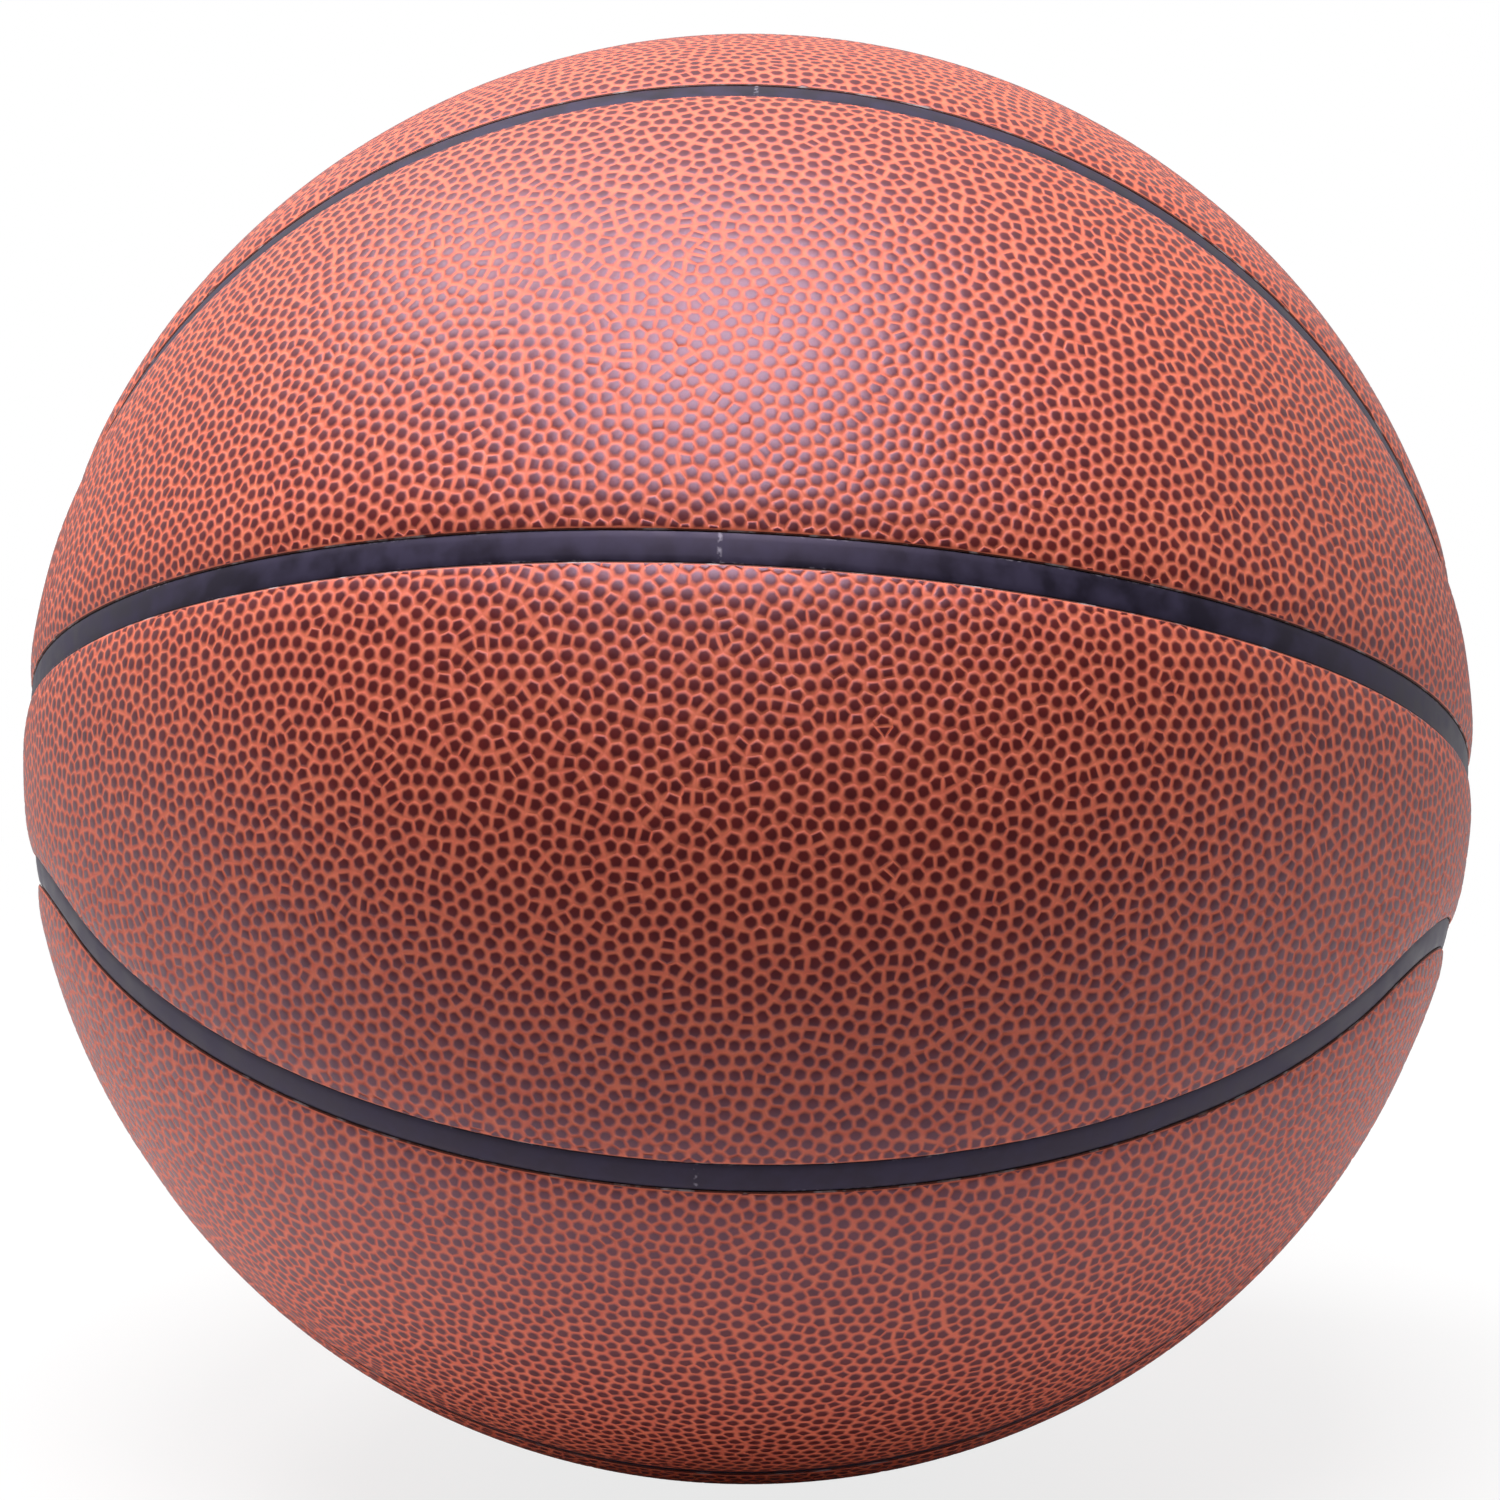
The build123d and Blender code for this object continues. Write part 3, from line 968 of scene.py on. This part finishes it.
raw_edge, tree, surface, place = new_material("cut_edge_of_fibre_backing")
breaks = add(
    tree, "ShaderNodeTexNoise", {"Vector": place, "Scale": per_mm(BREAK_SIZE), "Detail": 4.0}
).outputs["Fac"]
shown = add(
    tree, "ShaderNodeMapRange", {"Value": breaks, "From Min": 0.54, "From Max": 0.66}
).outputs["Result"]
colour = add(
    tree, "ShaderNodeMix", {"Factor": shown, 6: SKIN_AT_EDGE, 7: BACKING}, data_type="RGBA"
).outputs[2]
tree.links.new(colour, surface.inputs["Base Color"])
surface.inputs["Roughness"].default_value = 0.75
for cover in covers.values():
    cover.data.materials.append(leather)
    cover.data.materials.append(raw_edge)
    middles = np.empty(len(cover.data.polygons) * 3)
    cover.data.polygons.foreach_get("center", middles)
    at_edge = past_edge(middles.reshape(-1, 3)) < RAW_EDGE
    slots = np.where(at_edge, RAW_EDGE_SLOT, 0).astype(np.int32)
    cover.data.polygons.foreach_set("material_index", slots)
print(raw_edge.name, "nodes:", len(tree.nodes))

# %% [markdown]
# ## The ribs' moulded rubber
# The carcass is carbon-black rubber with a satin moulded skin that shows blue-grey under the soft
# light, faintly cloudy, with a few pale specks of mould dust. Where the mould's halves met, a fine
# line crosses the ribs in one plane through the ball. A pale line is painted along the rims of the
# ribs, in stretches: a painted highlight of their edges.

# %% Clouds in the rubber
CLOUD_SIZE = 5.0
RUBBER_DARK, RUBBER_LIGHT = linear("#161320"), linear("#2C283C")

rubber, tree, surface, place = new_material("moulded_carbon_black_rubber")
clouds = add(
    tree, "ShaderNodeTexNoise", {"Vector": place, "Scale": per_mm(CLOUD_SIZE), "Detail": 4.0}
).outputs["Fac"]
cloudy = add(
    tree, "ShaderNodeMapRange", {"Value": clouds, "From Min": 0.37, "From Max": 0.63}
).outputs["Result"]
base = add(
    tree, "ShaderNodeMix", {"Factor": cloudy, 6: RUBBER_DARK, 7: RUBBER_LIGHT}, data_type="RGBA"
).outputs[2]
gloss = add(
    tree, "ShaderNodeMapRange", {"Value": cloudy, "To Min": 0.46, "To Max": 0.58}
).outputs["Result"]
skin = add(
    tree, "ShaderNodeBump", {"Height": clouds, "Strength": 0.15, "Distance": 0.1 * MM}
).outputs["Normal"]
print("nodes for the clouds:", len(tree.nodes))

# %% Mould line, dust and painted rim highlight
MOULD_OFFSET = -1.3 * MM
LINE_CORE, LINE_EDGE = 0.1 * MM, 0.45 * MM
SPECK_SIZE, STRETCH_SIZE = 0.9, 14.0
DUST_AND_HIGHLIGHT_COLOUR = linear("#8C8692")

across = add(
    tree, "ShaderNodeVectorMath", {0: place, 1: ball_axes[:, 0]}, operation="DOT_PRODUCT"
).outputs["Value"]
shifted = add(tree, "ShaderNodeMath", {0: across, 1: MOULD_OFFSET}, operation="SUBTRACT").outputs[0]
beside = add(tree, "ShaderNodeMath", {0: shifted}, operation="ABSOLUTE").outputs[0]
line = add(
    tree, "ShaderNodeMapRange",
    {"Value": beside, "From Min": LINE_CORE, "From Max": LINE_EDGE, "To Min": 1.0, "To Max": 0.0},
).outputs["Result"]
speck_noise = add(
    tree, "ShaderNodeTexNoise", {"Vector": place, "Scale": per_mm(SPECK_SIZE), "Detail": 2.0}
).outputs["Fac"]
dust_and_highlight_specks = add(
    tree, "ShaderNodeMapRange", {"Value": speck_noise, "From Min": 0.5, "From Max": 0.66}
).outputs["Result"]
line_mark = add(tree, "ShaderNodeMath", {0: line, 1: dust_and_highlight_specks}, operation="MULTIPLY").outputs[0]
# The ribs' rims get a pale line in stretches: a painted highlight of their edges, not dust.
rim = add(tree, "ShaderNodeAttribute", attribute_name="rim").outputs["Fac"]
rim_band = add(
    tree, "ShaderNodeMapRange", {"Value": rim, "From Min": 0.86, "From Max": 0.97}
).outputs["Result"]
along = add(
    tree, "ShaderNodeTexNoise", {"Vector": place, "Scale": per_mm(STRETCH_SIZE), "Detail": 1.0}
).outputs["Fac"]
stretches = add(
    tree, "ShaderNodeMapRange", {"Value": along, "From Min": 0.52, "From Max": 0.64}
).outputs["Result"]
rim_highlight_specks = add(tree, "ShaderNodeMath", {0: rim_band, 1: dust_and_highlight_specks}, operation="MULTIPLY").outputs[0]
painted_rim_highlight = add(
    tree, "ShaderNodeMath", {0: rim_highlight_specks, 1: stretches}, operation="MULTIPLY"
).outputs[0]
mark = add(tree, "ShaderNodeMath", {0: line_mark, 1: painted_rim_highlight}, operation="MAXIMUM").outputs[0]
print("nodes with the dust:", len(tree.nodes))

# %% Moulded rubber
colour = add(
    tree, "ShaderNodeMix", {"Factor": mark, 6: base, 7: DUST_AND_HIGHLIGHT_COLOUR}, data_type="RGBA"
).outputs[2]
for socket, value in (("Base Color", colour), ("Roughness", gloss), ("Normal", skin)):
    tree.links.new(value, surface.inputs[socket])
surface.inputs["Specular Tint"].default_value = linear("#E9D4FF")
give([carcass], rubber)
print(rubber.name, "nodes:", len(tree.nodes))

# %% [markdown]
# ## The layers inside
# The valve's rubber is a dull black. The bladder is butyl with a haze of talc, the winding is nylon
# thread laid in crossing bands, and the cushions are dark cellular sponge. None but the valve's mouth
# shows on a whole ball, but each keeps its own finish for when the layers are shown apart.

# %% Valve rubber
BLOOM_SIZE = 1.5
VALVE_DARK, VALVE_LIGHT = linear("#17161A"), linear("#2B2A30")

valve_rubber, tree, surface, place = new_material("soft_valve_rubber")
bloom = add(
    tree, "ShaderNodeTexNoise", {"Vector": place, "Scale": per_mm(BLOOM_SIZE), "Detail": 3.0}
).outputs["Fac"]
colour = add(
    tree, "ShaderNodeMix", {"Factor": bloom, 6: VALVE_DARK, 7: VALVE_LIGHT}, data_type="RGBA"
).outputs[2]
tree.links.new(colour, surface.inputs["Base Color"])
surface.inputs["Roughness"].default_value = 0.55
give([valve_stem, valve_plug], valve_rubber)
print(valve_rubber.name, "nodes:", len(tree.nodes))

# %% Butyl of the bladder
TALC_SIZE = 12.0
BUTYL, TALC = linear("#1C1C1E"), linear("#5E5C5A")

butyl, tree, surface, place = new_material("talced_butyl")
talc = add(
    tree, "ShaderNodeTexNoise", {"Vector": place, "Scale": per_mm(TALC_SIZE), "Detail": 6.0}
).outputs["Fac"]
haze = add(
    tree, "ShaderNodeMapRange", {"Value": talc, "From Min": 0.45, "From Max": 0.7}
).outputs["Result"]
colour = add(
    tree, "ShaderNodeMix", {"Factor": haze, 6: BUTYL, 7: TALC}, data_type="RGBA"
).outputs[2]
tree.links.new(colour, surface.inputs["Base Color"])
surface.inputs["Roughness"].default_value = 0.6
give([frame["nodes"]["bladder"]], butyl)
print(butyl.name, "nodes:", len(tree.nodes))

# %% Thread of the winding
THREAD_PITCH, THREAD_HEIGHT = 1.2, 0.2 * MM
WAVE_TURNS = 20 / (2 * pi)  # a wave texture of scale 1 repeats so many times in a metre
THREAD_SHADE, THREAD_LIGHT = linear("#A89F8C"), linear("#E8E2D2")

thread, tree, surface, place = new_material("wound_nylon_thread")
strands = add(
    tree, "ShaderNodeTexWave",
    {"Vector": place, "Scale": per_mm(THREAD_PITCH) / WAVE_TURNS, "Distortion": 6.0, "Detail": 2.0},
).outputs["Fac"]
colour = add(
    tree, "ShaderNodeMix", {"Factor": strands, 6: THREAD_SHADE, 7: THREAD_LIGHT}, data_type="RGBA"
).outputs[2]
raised = add(
    tree, "ShaderNodeBump", {"Height": strands, "Distance": THREAD_HEIGHT}
).outputs["Normal"]
tree.links.new(colour, surface.inputs["Base Color"])
tree.links.new(raised, surface.inputs["Normal"])
surface.inputs["Roughness"].default_value = 0.5
give([frame["nodes"]["thread_winding"]], thread)
print(thread.name, "nodes:", len(tree.nodes))

# %% Sponge of the cushions
SPONGE_CELL, PIT_DEPTH = 0.6, 0.2 * MM
SPONGE_PIT_SHADE, SPONGE_LIGHT = linear("#2A2A2C"), linear("#4A494B")

sponge, tree, surface, place = new_material("cellular_rubber_sponge")
pores = add(
    tree, "ShaderNodeTexVoronoi", {"Vector": place, "Scale": per_mm(SPONGE_CELL)}
).outputs["Distance"]
# The pits are painted darker than the walls between them: painted shade in the hollows.
colour = add(
    tree, "ShaderNodeMix", {"Factor": pores, 6: SPONGE_PIT_SHADE, 7: SPONGE_LIGHT}, data_type="RGBA"
).outputs[2]
pits = add(tree, "ShaderNodeBump", {"Height": pores, "Distance": PIT_DEPTH}).outputs["Normal"]
tree.links.new(colour, surface.inputs["Base Color"])
tree.links.new(pits, surface.inputs["Normal"])
surface.inputs["Roughness"].default_value = 0.9
give(pads.values(), sponge)
print(sponge.name, "on", len(pads), "pieces")

# %% [markdown]
# ## Floor, studio and light
# The ball lies on white paper under two softboxes, one nearly overhead and a smaller one behind it to
# the left. The room is white behind the ball and dark on the camera's side, and on that side the paper
# is painted dark grey as painted shade, which leaves the pebbles facing the camera dark and gives the
# limbs their pale rim.
# The white background comes from the world and the floor as the camera sees them, not from more
# light on the ball. Far from the ball the floor is wholly white to the camera, so no horizon shows.

# %% Floor
FLOOR_SIZE = 12.0
FLOOR_LEVEL = -(BALL_RADIUS + FLANK_RISE + SHOULDER_RISE)
PAINTED_SHADE_FAR, PAINTED_SHADE_EDGE = -0.32, -0.1
PAPER, PAINTED_FLOOR_SHADE = linear("#E4E4E4"), linear("#343434")

bpy.ops.object.select_all(action="DESELECT")
bpy.ops.mesh.primitive_plane_add(size=FLOOR_SIZE, location=(0, 0, FLOOR_LEVEL))
floor = bpy.context.object
floor.name = "floor"
bpy.ops.object.transform_apply(location=True)
paper, tree, surface, place = new_material("white_studio_paper")
forward = add(tree, "ShaderNodeSeparateXYZ", {"Vector": place}).outputs["Y"]
# Towards the camera the paper's colour turns dark grey: painted shade on the floor.
painted_shade_share = add(
    tree, "ShaderNodeMapRange",
    {"Value": forward, "From Min": PAINTED_SHADE_FAR, "From Max": PAINTED_SHADE_EDGE, "To Min": 1.0, "To Max": 0.0},
    interpolation_type="SMOOTHSTEP",
).outputs["Result"]
colour = add(
    tree, "ShaderNodeMix", {"Factor": painted_shade_share, 6: PAPER, 7: PAINTED_FLOOR_SHADE}, data_type="RGBA"
).outputs[2]
tree.links.new(colour, surface.inputs["Base Color"])
surface.inputs["Roughness"].default_value = 0.9
surface.inputs["Specular IOR Level"].default_value = 0.1
floor.data.materials.append(paper)
print("floor at", round(FLOOR_LEVEL / MM, 2), "mm")

# %% Whiten the floor for the camera
SHADOW_NEAR, SHADOW_FAR = 0.12, 0.6
WHITE_NEAR, WHITE_FAR = 0.8, 1.0

away = add(tree, "ShaderNodeVectorMath", {0: place}, operation="LENGTH").outputs["Value"]
whitened = add(
    tree, "ShaderNodeMapRange",
    {
        "Value": away, "From Min": SHADOW_NEAR, "From Max": SHADOW_FAR,
        "To Min": WHITE_NEAR, "To Max": WHITE_FAR,
    },
    interpolation_type="SMOOTHSTEP",
).outputs["Result"]
path = add(tree, "ShaderNodeLightPath")
seen = add(
    tree, "ShaderNodeMath", {0: path.outputs["Is Camera Ray"], 1: path.outputs["Is Transmission Ray"]},
    operation="MAXIMUM",
).outputs[0]
share = add(tree, "ShaderNodeMath", {0: seen, 1: whitened}, operation="MULTIPLY").outputs[0]
glow = add(
    tree, "ShaderNodeEmission", {"Color": linear("#FFFFFF"), "Strength": 1.0}
).outputs["Emission"]
mixed = add(
    tree, "ShaderNodeMixShader", {0: share, 1: surface.outputs["BSDF"], 2: glow}
).outputs["Shader"]
tree.links.new(mixed, tree.nodes["Material Output"].inputs["Surface"])
print(paper.name, "nodes:", len(tree.nodes))

# %% World
ROOM_FRONT, ROOM_BACK = 0.02, 0.84

world = bpy.data.worlds.new("white_studio")
bpy.context.scene.world = world
world.use_nodes = True
tree = world.node_tree
direction = add(tree, "ShaderNodeTexCoord").outputs["Generated"]
behind = add(tree, "ShaderNodeSeparateXYZ", {"Vector": direction}).outputs["Y"]
room = add(
    tree, "ShaderNodeMapRange",
    {"Value": behind, "From Min": -0.35, "From Max": 0.7, "To Min": ROOM_FRONT, "To Max": ROOM_BACK},
    interpolation_type="SMOOTHSTEP",
).outputs["Result"]
seen = add(tree, "ShaderNodeLightPath").outputs["Is Camera Ray"]
strength = add(
    tree, "ShaderNodeMix", {"Factor": seen, 2: room, 3: 1.0}, data_type="FLOAT"
).outputs[0]
backdrop = tree.nodes["Background"]
backdrop.inputs["Color"].default_value = linear("#FFFFFF")
tree.links.new(strength, backdrop.inputs["Strength"])
bpy.context.scene.view_settings.view_transform = "Standard"
print(world.name, "nodes:", len(tree.nodes))

# %% Softboxes
LAMP_DISTANCE = 1.3


def add_softbox(name, direction, width, depth, watts):
    """A soft rectangular lamp that faces the ball from a direction."""
    out = Vector(direction).normalized()
    bpy.ops.object.select_all(action="DESELECT")
    bpy.ops.object.light_add(type="AREA", location=out * LAMP_DISTANCE)
    lamp = bpy.context.object
    lamp.name = name
    lamp.rotation_euler = out.to_track_quat("Z", "Y").to_euler()
    lamp.data.shape = "RECTANGLE"
    lamp.data.size = width
    lamp.data.size_y = depth
    lamp.data.energy = watts
    print(name, watts, "W at", [round(value, 2) for value in lamp.location])


add_softbox("overhead_softbox", (-0.045, -0.3, 0.955), width=0.8, depth=1.0, watts=25.6)
add_softbox("left_softbox", (-0.5, 0.18, 0.845), width=0.4, depth=0.4, watts=6.3)
